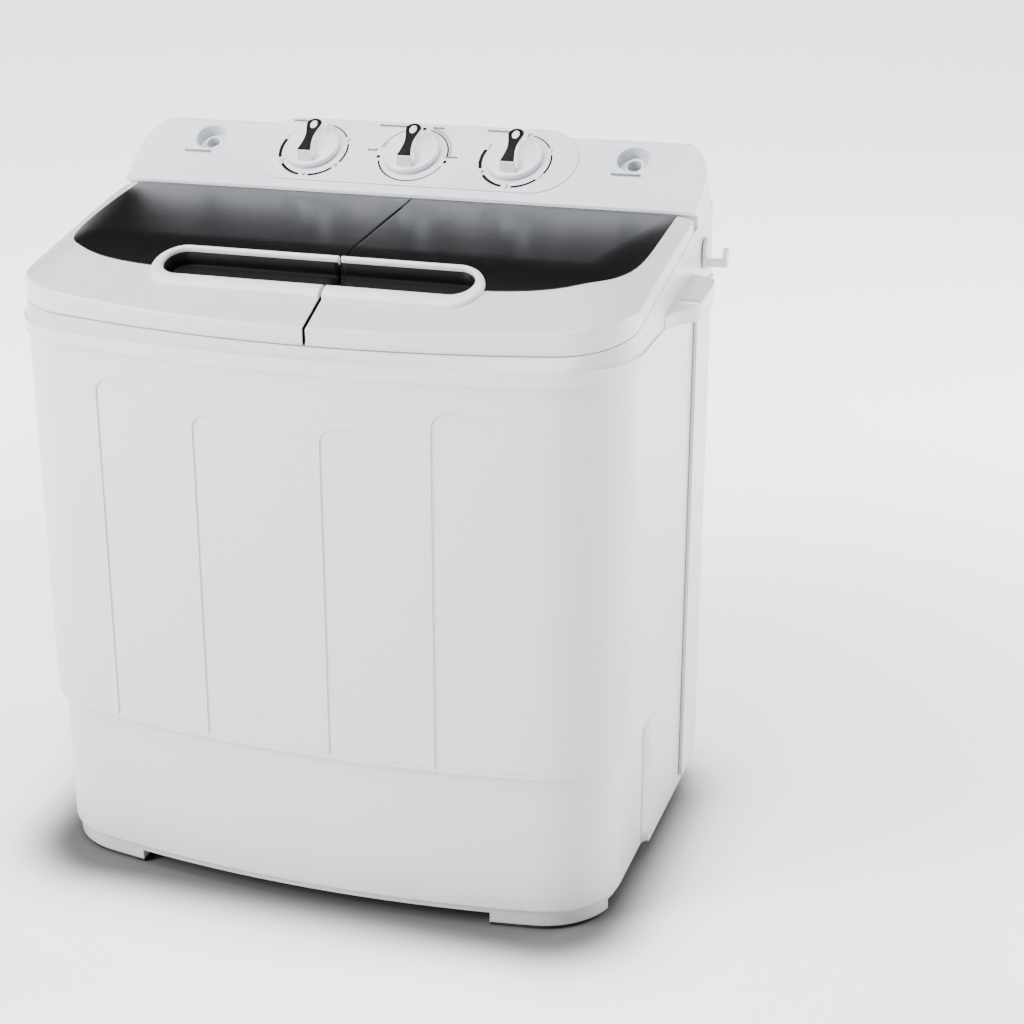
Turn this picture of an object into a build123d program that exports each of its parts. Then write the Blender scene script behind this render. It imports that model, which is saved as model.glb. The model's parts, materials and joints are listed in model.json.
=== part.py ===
"""Twin-tub portable washer: a wash tub with an agitator and a spin tub in one plastic cabinet.

Millimetres. +X is the user's right, +Y the back, +Z up. Heights below are from a datum
FLOOR_DROP above the floor, and each piece is raised by it when it is written, so that the
origin of the written pieces is on the floor under the middle of the machine.
"""
import os
from math import copysign, cos, pi, radians, sin, sqrt, tan

from build123d import *

# ---- cabinet ----
HALF_WIDTH = 271.0          # rim of the top frame, without its side grips
FRONT_Y = -175.0            # foremost point of the rim
REAR_Y = 171.0              # back of the body
FRONT_BOW = 33.0            # how far the front bulges over the full width
CORNER_R = 80.0             # vertical front corners
FLOOR_DROP = 10.0           # from the datum down to the floor
FOOT_PAD_H = 4.0
FOOT_HALF_GAP = 165.0       # half the distance between the feet, along X
FOOT_Y = (-95.0, 105.0)     # clear length between front and rear feet
BASE_Z = 8.0                # underside of the base
BASE_LIP_H = 5.0
PAN_REAR_H = 25.0           # height of the base's low walls behind the front shell
MOTOR_MOUNT_Z = 21.0
CABINET_Z = 137.5           # lower edge of the front shell
RIM_Z = 479.0               # lower edge of the rim
RIM_STEP_Z = 491.0          # top of the rim's lower band
SHELL = 3.5
WALL = 3.0
SHELL_REAR_Y = 3.0          # where the front shell ends on the side walls
CABINET_INSET = 3.0
HEM_H = 7.0                 # height of the stepped-in band along the shell's lower edge
BASE_INSET = 10.0
SIDE_INSET = 5.0
FLANGE_Y = 118.0            # front edge of the rear cover's side flange

# ---- recessed strips in the front shell ----
STRIP_INNER = (30.5, 82.5)
STRIP_OUTER = (122.5, 174.5)
STRIP_INNER_TOP = 435.0
STRIP_OUTER_TOP = 454.5
STRIP_DEPTH = 1.3
STRIP_CORNER_R = 13.0

# ---- lids ----
SEAM_SLOPE = tan(radians(10.3))
LID_FRONT_Y = -159.0
LID_REAR_Y = 96.5
LID_HALF_WIDTH = 268.0
LID_BOW = 28.0
LID_CORNER_R = 62.0
SEAM_FRONT_Z = 497.0        # lid underside at the front edge
LID_EDGE_H = 15.0           # height of the lid's side face
LID_WALL = 3.0
SEAM_GAP = 0.7              # between the lids and the top frame
KNEE_Y = -68.0              # where the sloped front of the lid meets its flat top
FRONT_SLOPE = 0.40
TOP_SLOPE = 0.066
LID_GAP_X = 15.0
LID_GAP = 3.0
WINDOW_T = 2.0
WINDOW_HALF = 254.0
WINDOW_FRONT_Y = -100.0
WINDOW_REAR_Y = 95.5
WINDOW_POWER = 5.6
HINGE_Y = 90.0
HINGE_Z = 551.5
HINGE_PIN_R = 1.5
HINGE_EAR_R = 3.2
HINGE_SWEEP_R = 8.9         # what is behind and below the hinge axis stays within this radius

# ---- grip across the two lids ----
GRIP_HALF = 145.0
GRIP_R = 27.0
SLOT_HALF = 136.0
SLOT_R = 17.0
SLOT_SHIFT = 5.0
SLOT_DEPTH = 16.0
GRIP_Y = -98.0
GRIP_RAISE = 5.0

# ---- deck under the lids ----
DECK_DROP = 12.0
DECK_T = 3.0
DECK_REAR_Y = 107.0

# ---- console ----
CONSOLE_Y = 100.0
CONSOLE_Z = 562.5
CONSOLE_SLOPE = 34.0
CONSOLE_REAR_Y = 174.0
CONSOLE_HALF = 269.0
CONSOLE_CORNER_R = 48.0
CONSOLE_FACE = 88.0         # length of the sloped face
ISLAND_HALF = 154.0
ISLAND_R = 38.5
ISLAND_T = 1.0
KNOB_V = 48.0               # height of the knobs up the sloped face
KNOB_PITCH = 96.2
KNOB_R = 27.0
KNOB_GAP = 0.6
KNOB_DISC_H = 5.0
KNOB_GRIP_H = 9.5
INLET_X = 202.0
INLET_V = 57.0
INLET_R = 16.5
INLET_DEPTH = 14.0
INLET_BORE_R = 6.5

# ---- side grips ----
SIDE_GRIP_X = 291.0
SIDE_GRIP_FRONT_Y = -6.0
SIDE_GRIP_REAR_Y = 104.0

# ---- tubs ----
WASH_X, WASH_Y = -124.0, -24.0
WASH_HALF_X, WASH_HALF_Y = 113.0, 109.0
WASH_CORNER_R = 70.0
WASH_FLOOR_Z = 190.0
SPIN_X, SPIN_Y = 134.0, -24.0
SPIN_TUB_R = 106.0
SPIN_FLOOR_Z = 200.0
TUB_TOP_Z = 478.0
BASKET_R = 88.0
BASKET_Z = 225.0
BASKET_H = 212.0

# ---- drives ----
AGITATOR_R = 84.0
SHAFT_R = 6.0
RUNNING = 0.05              # radial clearance of a shaft in its bore
PULLEY_Z = 42.0
PULLEY_H = 12.0
BIG_GROOVE_R = 57.0
SMALL_GROOVE_R = 16.0
FLANGE_EXTRA = 6.5
WASH_MOTOR_X, WASH_MOTOR_Y = -200.0, 95.0
MOTOR_R = 50.0
DRUM_R = 38.0
DRUM_Z = 156.0
DRUM_H = 16.0
BRAKE_GAP = 1.2
PIVOT_X, PIVOT_Y = 188.0, 6.0

# ---- lid switch ----
SWITCH_X, SWITCH_Y = 224.0, 56.0
PLUNGER_R = 3.0
PLUNGER_TOP_Z = 531.0

# ---- drain and cable ----
GLAND_X, GLAND_Z = -200.0, 90.0
DRAIN_X, DRAIN_Y = -46.0, 47.0
OUTLET_X, OUTLET_Z = 180.0, 76.0
OUTLET_R = 11.0
OUTLET_TIP_Y = 175.0
OUTLET_ROOT_Y = 145.0

PANEL = Plane(
    origin=(0, CONSOLE_Y, CONSOLE_Z),
    x_dir=(1, 0, 0),
    z_dir=(0, -sin(radians(CONSOLE_SLOPE)), cos(radians(CONSOLE_SLOPE))),
)
FRONT_ANGLE = radians(21.8)
ON_BASE = (Align.CENTER, Align.CENTER, Align.MIN)
GRIP_PLANE = Plane(
    origin=(0, GRIP_Y, SEAM_FRONT_Z + LID_EDGE_H + FRONT_SLOPE * (GRIP_Y - LID_FRONT_Y)),
    x_dir=(1, 0, 0),
    z_dir=(0, -sin(FRONT_ANGLE), cos(FRONT_ANGLE)),
)


# ---------------------------------------------------------------- helpers

def outline(inset=0.0, front=FRONT_Y, rear=REAR_Y, half=HALF_WIDTH, bow=FRONT_BOW, corner=CORNER_R):
    """Plan face: bowed front, round front corners, straight sides, square back."""
    bow_r = (half**2 + bow**2) / (2 * bow)
    w = half - inset
    side_y = front + bow_r - sqrt((bow_r - inset) ** 2 - w**2)
    sides = Polyline((-w, side_y), (-w, rear), (w, rear), (w, side_y))
    front_arc = ThreePointArc((w, side_y), (0, front + inset), (-w, side_y))
    face = make_face(sides + front_arc)
    return fillet(face.vertices().sort_by(Axis.Y)[:2], corner - inset)


def lid_outline(inset=0.0, rear=LID_REAR_Y):
    return outline(inset, LID_FRONT_Y, rear, LID_HALF_WIDTH, LID_BOW, LID_CORNER_R)


def prism(face, z0, z1):
    return Pos(0, 0, z0) * extrude(face, z1 - z0)


def span(x0, x1, y0, y1, z0, z1):
    """A box from its lowest to its highest corner."""
    return Pos((x0 + x1) / 2, (y0 + y1) / 2, (z0 + z1) / 2) * Box(x1 - x0, y1 - y0, z1 - z0)


def rod(x, y, z0, z1, r):
    return Pos(x, y, (z0 + z1) / 2) * Cylinder(r, z1 - z0)


def tube(x, y, z0, z1, r, bore):
    return rod(x, y, z0, z1, r) - rod(x, y, z0 - 1, z1 + 1, bore)


def rod_x(x0, x1, y, z, r):
    return Pos((x0 + x1) / 2, y, z) * Rot(0, 90, 0) * Cylinder(r, x1 - x0)


def rod_y(x, y0, y1, z, r):
    return Pos(x, (y0 + y1) / 2, z) * Rot(90, 0, 0) * Cylinder(r, y1 - y0)


def polygon(*points):
    return make_face(Polyline(*points, close=True))


def side_prism(face, x0=-320.0, x1=320.0):
    """A face drawn in Y and Z, pushed along X."""
    return Pos(x0, 0, 0) * extrude(Plane.YZ * face, x1 - x0)


def seam_z(y):
    return SEAM_FRONT_Z + SEAM_SLOPE * (y - LID_FRONT_Y)


def below_seam(drop=0.0):
    y0, y1 = -300.0, 300.0
    return side_prism(polygon((y0, 0), (y1, 0), (y1, seam_z(y1) - drop), (y0, seam_z(y0) - drop)))


def pill(half, r, shift=0.0):
    return Pos(0, shift) * SlotOverall(2 * half, 2 * r)


def round_box(half_x, half_y, r):
    return RectangleRounded(2 * half_x, 2 * half_y, r)


def on_panel(x, v, n0, n1, shape):
    """Push a flat shape along the console face's normal, from n0 to n1."""
    return PANEL * (Pos(x, v, n0) * extrude(shape, n1 - n0))


def coil(x, y, z0, z1, radius, wire, turns):
    path = Helix(pitch=(z1 - z0) / turns, height=z1 - z0, radius=radius)
    start = path @ 0
    section = Plane(origin=start, z_dir=path % 0) * Circle(wire)
    return Pos(x, y, z0) * sweep(section, path=path)


# ---------------------------------------------------------------- base and cabinet

def corner_feet(inset, width, z0, z1):
    """A ring under the base's edge, cut away between its four corners."""
    ring = prism(outline(inset, rear=REAR_Y + BASE_INSET - inset), z0, z1)
    inside = inset + width
    ring -= prism(outline(inside, rear=REAR_Y + BASE_INSET - inside), z0 - 1, z1 + 1)
    between = span(-FOOT_HALF_GAP, FOOT_HALF_GAP, -300, 300, z0 - 1, z1 + 1)
    return ring - between - span(-300, 300, *FOOT_Y, z0 - 1, z1 + 1)


def base_pan():
    rear = REAR_Y - 4
    outer = prism(outline(BASE_INSET, rear=rear), BASE_Z, CABINET_Z + 12)
    outer = fillet(outer.faces().sort_by(Axis.Z)[0].edges(), 3)
    pan = outer - prism(outline(BASE_INSET + WALL, rear=rear - WALL), BASE_Z + WALL, CABINET_Z + 13)
    pan -= span(-300, 300, SHELL_REAR_Y, 300, BASE_Z + PAN_REAR_H, CABINET_Z + 20)
    pan += prism(outline(BASE_INSET + 4, rear=rear - 4), BASE_Z - BASE_LIP_H, BASE_Z + 1)
    pan -= prism(outline(BASE_INSET + 8, rear=rear - 8), BASE_Z - BASE_LIP_H - 1, BASE_Z)
    pan += corner_feet(BASE_INSET + 4, 24, FOOT_PAD_H - FLOOR_DROP, BASE_Z + 1)
    return pan + rod(SPIN_X, SPIN_Y, BASE_Z + WALL - 1, MOTOR_MOUNT_Z, 52)


def foot_pads():
    return corner_feet(BASE_INSET + 6, 20, -FLOOR_DROP, FOOT_PAD_H - FLOOR_DROP)


def strip_cutter(x0, x1, top):
    """One recessed strip: open at the bottom edge, round at its top corners."""
    bottom = CABINET_Z - 40
    flat = Pos((x0 + x1) / 2, (top + bottom) / 2) * RectangleRounded(x1 - x0, top - bottom, STRIP_CORNER_R)
    return Plane.XZ * (Pos(0, 0, 90) * extrude(flat, 120))


def front_cabinet():
    outer = prism(outline(CABINET_INSET), CABINET_Z, RIM_Z)
    outer = fillet(outer.faces().sort_by(Axis.Z)[0].edges().filter_by(lambda e: e.center().Y < 100), 5)
    inner = prism(outline(CABINET_INSET + SHELL), CABINET_Z - 1, RIM_Z + 1)
    skin = outer - inner
    recess = prism(outline(CABINET_INSET - 2), CABINET_Z, RIM_Z)
    recess -= prism(outline(CABINET_INSET + STRIP_DEPTH), CABINET_Z, RIM_Z)
    for sign in (-1, 1):
        for (a, b), top in ((STRIP_INNER, STRIP_INNER_TOP), (STRIP_OUTER, STRIP_OUTER_TOP)):
            x0, x1 = sorted((sign * a, sign * b))
            skin -= recess & strip_cutter(x0, x1, top)
    band = prism(outline(CABINET_INSET - 1), CABINET_Z - 1, RIM_Z)
    band -= prism(outline(CABINET_INSET + 1), 0, RIM_Z)
    skin -= band & span(-300, 300, -300, 300, 0, CABINET_Z + HEM_H)
    return skin - span(-300, 300, SHELL_REAR_Y, 300, 0, 700)


def side_panel(sign):
    outer_x = HALF_WIDTH - SIDE_INSET
    wall = span(outer_x - WALL, outer_x, SHELL_REAR_Y + 0.2, REAR_Y - 4, BASE_Z, RIM_Z)
    rib = span(outer_x - WALL - 5, outer_x - WALL, 60, 63, BASE_Z + 60, RIM_Z - 30)
    turned_in = span(outer_x - 9, outer_x - WALL, SHELL_REAR_Y + 0.2, SHELL_REAR_Y + 3,
                     BASE_Z + PAN_REAR_H + 1, CABINET_Z + 20)
    panel = wall + rib + turned_in
    return panel if sign > 0 else mirror(panel, Plane.YZ)


def rear_cover():
    x = HALF_WIDTH - 1.5
    cover = span(-x, x, REAR_Y - WALL, REAR_Y, BASE_Z + 9, RIM_Z)
    for sign in (-1, 1):
        inner = sorted((sign * (x - 3), sign * x))
        cover += span(inner[0], inner[1], FLANGE_Y, REAR_Y, BASE_Z + 9, RIM_Z)
    for row in range(9):
        z = 250 + 14 * row
        cover -= span(-190, -90, REAR_Y - 10, REAR_Y + 1, z, z + 5)
        cover -= span(90, 190, REAR_Y - 10, REAR_Y + 1, z, z + 5)
    x0, x1, z0, z1 = OUTLET_X - 32, OUTLET_X + 32, OUTLET_Z - 32, OUTLET_Z + 32
    cover += span(x0, x1, OUTLET_ROOT_Y - WALL, REAR_Y, z0, z1)
    cover -= span(x0 + WALL, x1 - WALL, OUTLET_ROOT_Y, REAR_Y + 1, z0 + WALL, z1 - WALL)
    cover -= rod_y(OUTLET_X, OUTLET_ROOT_Y - 10, OUTLET_ROOT_Y + 1, OUTLET_Z, OUTLET_R + 0.5)
    cover -= rod_y(GLAND_X, REAR_Y - 10, REAR_Y + 1, GLAND_Z, 9.0)
    for x_s, z_s in screw_places():
        cover -= rod_y(x_s, REAR_Y - 10, REAR_Y + 1, z_s, 1.7)
    return cover


def screw_places():
    right = ((250, 45), (250, 260), (250, 465), (60, 465), (60, 45))
    return [(sign * x, z) for sign in (-1, 1) for x, z in right]


def cabinet_screws():
    group = Part()
    for x, z in screw_places():
        head = rod_y(x, REAR_Y, REAR_Y + 2.4, z, 4.2)
        head -= span(x - 3, x + 3, REAR_Y + 1.2, REAR_Y + 3, z - 0.5, z + 0.5)
        head -= span(x - 0.5, x + 0.5, REAR_Y + 1.2, REAR_Y + 3, z - 3, z + 3)
        group += head + rod_y(x, REAR_Y - 12, REAR_Y, z, 1.6)
    return group


def cable_gland():
    body = rod_y(GLAND_X, REAR_Y, REAR_Y + 4, GLAND_Z, 12) + rod_y(GLAND_X, REAR_Y - 12, REAR_Y, GLAND_Z, 8.9)
    return body - rod_y(GLAND_X, REAR_Y - 20, REAR_Y + 10, GLAND_Z, 4.0)


# ---------------------------------------------------------------- top frame

def wash_mouth(grow=0.0):
    return Pos(WASH_X, WASH_Y) * round_box(WASH_HALF_X + grow, WASH_HALF_Y + grow, WASH_CORNER_R + grow)


def spin_mouth(grow=0.0):
    return Pos(SPIN_X, SPIN_Y) * Circle(SPIN_TUB_R - 6 + grow)


def side_grip(sign):
    """A hollow lip on the side of the rim, with room for the fingers below."""
    tip, root = SIDE_GRIP_X, HALF_WIDTH - 6
    y0, y1 = SIDE_GRIP_FRONT_Y, SIDE_GRIP_REAR_Y
    edge = Spline((root + 5, y0), (tip - 8, y0 + 24), (tip, y0 + 40), tangents=[(0.3, 1), (0.1, 1)])
    back = Spline((tip, y1 - 24), (tip - 8, y1 - 8), (root + 5, y1), tangents=[(-0.1, 1), (-0.6, 1)])
    face = make_face(edge + Line((tip, y0 + 40), (tip, y1 - 24)) + back
                     + Polyline((root + 5, y1), (root, y1), (root, y0), (root + 5, y0)))
    lip = prism(face, RIM_STEP_Z - 2, RIM_STEP_Z + 17)
    room = span(HALF_WIDTH + 0.5, tip - 3, y0 + 34, y1 - 22, RIM_STEP_Z - 3, RIM_STEP_Z + 13)
    top_cut = side_prism(polygon((-200, 700), (200, 700), (200, RIM_STEP_Z + 17), (80, RIM_STEP_Z + 17),
                                 (y0, RIM_STEP_Z + 9), (-200, RIM_STEP_Z + 9)))
    lip = lip - room - top_cut
    return lip if sign > 0 else mirror(lip, Plane.YZ)


def top_frame():
    lower = outline(1.5)
    upper_block = prism(lid_outline(0, rear=REAR_Y), RIM_STEP_Z, 620) & below_seam()
    upper = upper_block.faces().filter_by(lambda f: f.normal_at().Z > 0.9).sort_by(Axis.Z)[-1]
    body = loft([(Pos(0, 0, RIM_STEP_Z) * lower).faces()[0], upper], ruled=True)
    body += prism(outline(0), RIM_Z, RIM_STEP_Z)
    body -= prism(outline(6.5, rear=REAR_Y - WALL), RIM_Z - 1, 620) & below_seam(DECK_DROP + DECK_T)
    well = prism(lid_outline(4, rear=DECK_REAR_Y), 400, 620) - below_seam(DECK_DROP)
    body -= well
    for mouth in (wash_mouth, spin_mouth):
        collar = prism(mouth(WALL), TUB_TOP_Z + 1, 620) & below_seam(DECK_DROP)
        body += collar
        body -= prism(mouth(), 400, 620)
    for x in lug_places(frame_side=True):
        body += hinge_lug(x, from_deck=True)
        body -= rod_x(x - 10, x + 10, HINGE_Y, HINGE_Z, HINGE_PIN_R)
    body -= rod(SWITCH_X, SWITCH_Y, 480, 560, PLUNGER_R + 0.4)
    body -= span(-230, 230, 115, REAR_Y - 8, 500, 700)
    for sign in (-1, 1):
        body += side_grip(sign)
    return body


def lug_places(frame_side):
    """Where the hinge ears are along X: the frame's, or the lids' beside them."""
    return (-238.0, -12.0, 32.0, 238.0) if frame_side else (-227.5, -22.5, 42.5, 227.5)


def hinge_lug(x, from_deck):
    """A rounded ear 8 mm wide around the hinge axis."""
    low, high = (seam_z(HINGE_Y) - DECK_DROP - 1.5, HINGE_Z) if from_deck else (HINGE_Z, HINGE_Z + 4.6)
    ear = rod_x(x - 4, x + 4, HINGE_Y, HINGE_Z, HINGE_EAR_R)
    return ear + span(x - 4, x + 4, HINGE_Y - HINGE_EAR_R, HINGE_Y + HINGE_EAR_R, low, high)


def lid_hinge_pins():
    wash = rod_x(-260, LID_GAP_X - 8, HINGE_Y, HINGE_Z, HINGE_PIN_R)
    spin = rod_x(LID_GAP_X + 8, 260, HINGE_Y, HINGE_Z, HINGE_PIN_R)
    return Part() + wash + spin


# ---------------------------------------------------------------- lids

def lid_crown(drop, inset):
    """The lid's solid form: plan outline, front slope, flat top and sloped side margins."""
    z_edge = SEAM_FRONT_Z + LID_EDGE_H - drop
    knee_z = z_edge + FRONT_SLOPE * (KNEE_Y - LID_FRONT_Y)
    top = FilletPolyline((-200, z_edge + FRONT_SLOPE * (-200 - LID_FRONT_Y)), (KNEE_Y, knee_z),
                         (160, knee_z + TOP_SLOPE * (160 - KNEE_Y)), radius=90)
    close = Polyline(top @ 1, (160, 400), (-200, 400), top @ 0)
    plan = lid_outline(inset, rear=LID_REAR_Y - inset)
    form = prism(plan, 480, 620) & side_prism(make_face(top + close))
    angle = radians(10.3)
    edge_plane = Plane(origin=(0, LID_FRONT_Y, z_edge), x_dir=(1, 0, 0),
                       z_dir=(0, -cos(angle), -sin(angle)))
    w = LID_HALF_WIDTH
    margin = polygon((-w - 20, -90), (w + 20, -90), (w + 20, -10), (w - 120, 60), (120 - w, 60), (-w - 20, -10))
    return form & (edge_plane * extrude(margin, 400, both=True))


def window_face():
    """Straight rear edge, and a superellipse for the sides and the front."""
    depth, turns = WINDOW_REAR_Y - WINDOW_FRONT_Y, [k * pi / 24 for k in range(25)]
    power = 2 / WINDOW_POWER
    points = [(copysign(WINDOW_HALF * abs(cos(t)) ** power, cos(t)),
               WINDOW_REAR_Y - depth * sin(t) ** power) for t in turns[:-1]]
    return make_face(Polyline(*points, (-WINDOW_HALF, WINDOW_REAR_Y), close=True))


def lid_side(sign, inset=0.0):
    """Everything on one side of the gap between the lids."""
    edge = LID_GAP / 2 + inset
    if sign < 0:
        return span(-300, LID_GAP_X - edge, -300, 300, 400, 700)
    return span(LID_GAP_X + edge, 300, -300, 300, 400, 700)


def lid_windows():
    slab = lid_crown(0, 0) - lid_crown(WINDOW_T, -5)
    return (slab & prism(window_face(), 400, 700)) - grip_space(GRIP_HALF, GRIP_R, 0)


def grip_space(half, r, shift):
    return GRIP_PLANE * (Pos(0, 0, -40) * extrude(pill(half, r, shift), 80))


def lid(sign):
    shell = (lid_crown(0, 0) - below_seam(-SEAM_GAP)) & lid_side(sign)
    shell -= lid_crown(LID_WALL, LID_WALL) & lid_side(sign, LID_WALL)
    shell -= lid_windows()
    shell -= grip_space(SLOT_HALF + 2, SLOT_R + 2, SLOT_SHIFT)
    for x in lug_places(frame_side=True):
        shell -= span(x - 5.5, x + 5.5, HINGE_Y, LID_REAR_Y + 2, 530, HINGE_Z + 4)
    for x in lug_places(frame_side=False):
        if (x < LID_GAP_X) == (sign < 0):
            shell += hinge_lug(x, from_deck=False)
    shell -= rod_x(-300, 300, HINGE_Y, HINGE_Z, HINGE_PIN_R + RUNNING)
    rear_heel = span(-300, 300, HINGE_Y, LID_REAR_Y + 2, 530, HINGE_Z)
    shell -= rear_heel - rod_x(-301, 301, HINGE_Y, HINGE_Z, HINGE_SWEEP_R)
    if sign > 0:
        shell += rod(SWITCH_X, SWITCH_Y, PLUNGER_TOP_Z + 0.3, 553.5, 4.0)
    return shell


def lid_window(sign):
    return lid_windows() & lid_side(sign)


def grip_rim(sign):
    ring = extrude(pill(GRIP_HALF, GRIP_R), GRIP_RAISE)
    ring = fillet(ring.faces().sort_by(Axis.Z)[-1].edges(), 2.5)
    ring -= Pos(0, 0, -1) * extrude(pill(SLOT_HALF, SLOT_R, SLOT_SHIFT), GRIP_RAISE + 2)
    return (GRIP_PLANE * (Pos(0, 0, 0.05) * ring)) & lid_side(sign)


def grip_insert(sign):
    cup = Pos(0, 0, -SLOT_DEPTH) * extrude(pill(SLOT_HALF + 2, SLOT_R + 2, SLOT_SHIFT), SLOT_DEPTH)
    cup -= Pos(0, 0, 2 - SLOT_DEPTH) * extrude(pill(SLOT_HALF, SLOT_R, SLOT_SHIFT), SLOT_DEPTH)
    return (GRIP_PLANE * cup) & lid_side(sign)


# ---------------------------------------------------------------- console

def console_profile(t):
    """Side view of the console, drawn inside by t, with a round top edge at the back."""
    slope = tan(radians(CONSOLE_SLOPE))
    lift = t / cos(radians(CONSOLE_SLOPE))

    def face_z(y):
        return CONSOLE_Z + slope * (y - CONSOLE_Y) - lift

    rear_y, foot_y = CONSOLE_REAR_Y - t, DECK_REAR_Y + 1 + t
    if t == 0:
        front = [(CONSOLE_Y, CONSOLE_Z - 3), (CONSOLE_Y, face_z(CONSOLE_Y))]
    else:
        front = [(foot_y, face_z(foot_y))]
    foot = [(foot_y, 500), (foot_y, CONSOLE_Z - 6)] if t == 0 else [(foot_y, 500)]
    face = polygon(*foot, *front, (rear_y, face_z(rear_y)), (rear_y, 500))
    return fillet(face.vertices().sort_by(Axis.Y)[-1], 7 - t)


def console_form(t):
    w = CONSOLE_HALF - t
    block = side_prism(console_profile(t), -w, w)
    height = CONSOLE_FACE - t + 120
    face = Pos(0, height / 2 - 120) * RectangleRounded(2 * w, height, CONSOLE_CORNER_R - t)
    return block & (PANEL * extrude(face, 160, both=True))


def console_housing():
    shell = console_form(0) - below_seam() - console_form(WALL)
    for x in (-INLET_X, INLET_X):
        shell -= on_panel(x, INLET_V, -20, 10, Circle(INLET_R))
    for i in (-1, 0, 1):
        shell -= on_panel(i * KNOB_PITCH, KNOB_V, -20, 10, Circle(6))
    return shell


def dial_plate():
    plate = on_panel(0, KNOB_V, 0, ISLAND_T, pill(ISLAND_HALF, ISLAND_R))
    for i in (-1, 0, 1):
        plate -= on_panel(i * KNOB_PITCH, KNOB_V, -5, 5, Circle(6))
    return plate


def inlet_cups():
    group = Part()
    for x in (-INLET_X, INLET_X):
        cup = on_panel(x, INLET_V, -INLET_DEPTH, 0, Circle(INLET_R - 0.05))
        cup -= on_panel(x, INLET_V, 2 - INLET_DEPTH, 5, Circle(INLET_R - 2))
        cup += on_panel(x, INLET_V, -INLET_DEPTH - 8, 6 - INLET_DEPTH, Circle(INLET_BORE_R + 2))
        cup -= on_panel(x, INLET_V, -INLET_DEPTH - 20, 10, Circle(INLET_BORE_R))
        group += cup
    return group


def knob_x(index):
    return (index - 1) * KNOB_PITCH


def grip_outline():
    """Top view of a knob's grip: round pointer end, narrow waist, wide square tail."""
    right = Spline((7.2, 15), (4.8, 3), (4.6, -6), (7.0, -20.5))
    left = Spline((-7.0, -20.5), (-4.6, -6), (-4.8, 3), (-7.2, 15))
    head = ThreePointArc((-7.2, 15), (0, 23.2), (7.2, 15))
    return make_face(right + Line((7.0, -20.5), (-7.0, -20.5)) + left + head)


def inlay_outline():
    right = Spline((6.4, 15.2), (4.0, 3), (3.8, -6), (6.0, -18.5))
    left = Spline((-6.0, -18.5), (-3.8, -6), (-4.0, 3), (-6.4, 15.2))
    head = ThreePointArc((-6.4, 15.2), (0, 22.4), (6.4, 15.2))
    return make_face(right + Line((6.0, -18.5), (-6.0, -18.5)) + left + head) - Pos(0, 15.6) * Circle(2.9)


def knob(index):
    x, base = knob_x(index), ISLAND_T + KNOB_GAP
    disc = extrude(Circle(KNOB_R), KNOB_DISC_H)
    disc = fillet(disc.edges().sort_by(Axis.Z)[-1], 1.6)
    grip = extrude(grip_outline(), KNOB_DISC_H + KNOB_GRIP_H)
    body = disc + grip - Pos(0, 0, KNOB_DISC_H + KNOB_GRIP_H - 1) * extrude(inlay_outline(), 3)
    stem = Pos(0, 0, -18) * extrude(Circle(3.5), 18.5)
    return PANEL * (Pos(x, KNOB_V, base) * (body + stem))


def knob_inlay(index):
    x, top = knob_x(index), ISLAND_T + KNOB_GAP + KNOB_DISC_H + KNOB_GRIP_H
    return PANEL * (Pos(x, KNOB_V, top - 1) * extrude(inlay_outline(), 1.4))


def control_unit(index, half_x, half_v, depth):
    """A timer or switch hung behind the console face, around its knob's stem."""
    x = knob_x(index)
    case = on_panel(x, KNOB_V - 4, -4 - depth, -4, RectangleRounded(2 * half_x, 2 * half_v, 3))
    ears = on_panel(x, KNOB_V - 4, -4, -WALL - 0.05, RectangleRounded(2 * half_x + 12, 12, 3))
    return case + ears - on_panel(x, KNOB_V, -17.5, 5, Circle(3.5 + RUNNING))


def hose_clip():
    plate = span(HALF_WIDTH - 1.2, HALF_WIDTH + 2, 128, 150, 505, 531)
    plate = fillet(plate.edges().filter_by(Axis.X), 8)
    arm = span(HALF_WIDTH + 1, SIDE_GRIP_X - 1, 135, 143, 507, 513)
    tip = fillet(span(SIDE_GRIP_X - 5, SIDE_GRIP_X - 1, 134, 144, 507, 523).edges().filter_by(Axis.X), 2)
    return plate + arm + tip


# ---------------------------------------------------------------- wash side

def wash_tub():
    def level(grow):
        return Pos(WASH_X, WASH_Y) * round_box(WASH_HALF_X + grow, WASH_HALF_Y + grow, WASH_CORNER_R + grow)
    tub = prism(level(WALL), WASH_FLOOR_Z - WALL, TUB_TOP_Z)
    tub = fillet(tub.faces().sort_by(Axis.Z)[0].edges(), 8)
    inside = fillet(prism(level(0), WASH_FLOOR_Z, TUB_TOP_Z + 10).faces().sort_by(Axis.Z)[0].edges(), 6)
    tub += prism(level(12), TUB_TOP_Z - 3, TUB_TOP_Z)
    tub -= inside
    tub -= rod(WASH_X, WASH_Y, 150, 250, 20) + rod(DRAIN_X, DRAIN_Y, 150, 250, 9)
    return tub


def agitator():
    """Dished disc with six curved vanes that drives the water."""
    disc = rod(WASH_X, WASH_Y, WASH_FLOOR_Z + 4, WASH_FLOOR_Z + 9, AGITATOR_R)
    dome = Pos(WASH_X, WASH_Y, WASH_FLOOR_Z + 9) * Cone(34, 16, 22, align=ON_BASE)
    body = disc + dome
    vane = Pos(47, 0, WASH_FLOOR_Z + 9) * extrude(SlotOverall(66, 9), 13, taper=12)
    for k in range(6):
        body += Pos(WASH_X, WASH_Y) * Rot(0, 0, 60 * k) * vane
    body -= rod(WASH_X, WASH_Y, 100, WASH_FLOOR_Z + 24, SHAFT_R)
    body -= rod(WASH_X, WASH_Y, WASH_FLOOR_Z + 24, WASH_FLOOR_Z + 40, 7.0)
    return body


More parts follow.
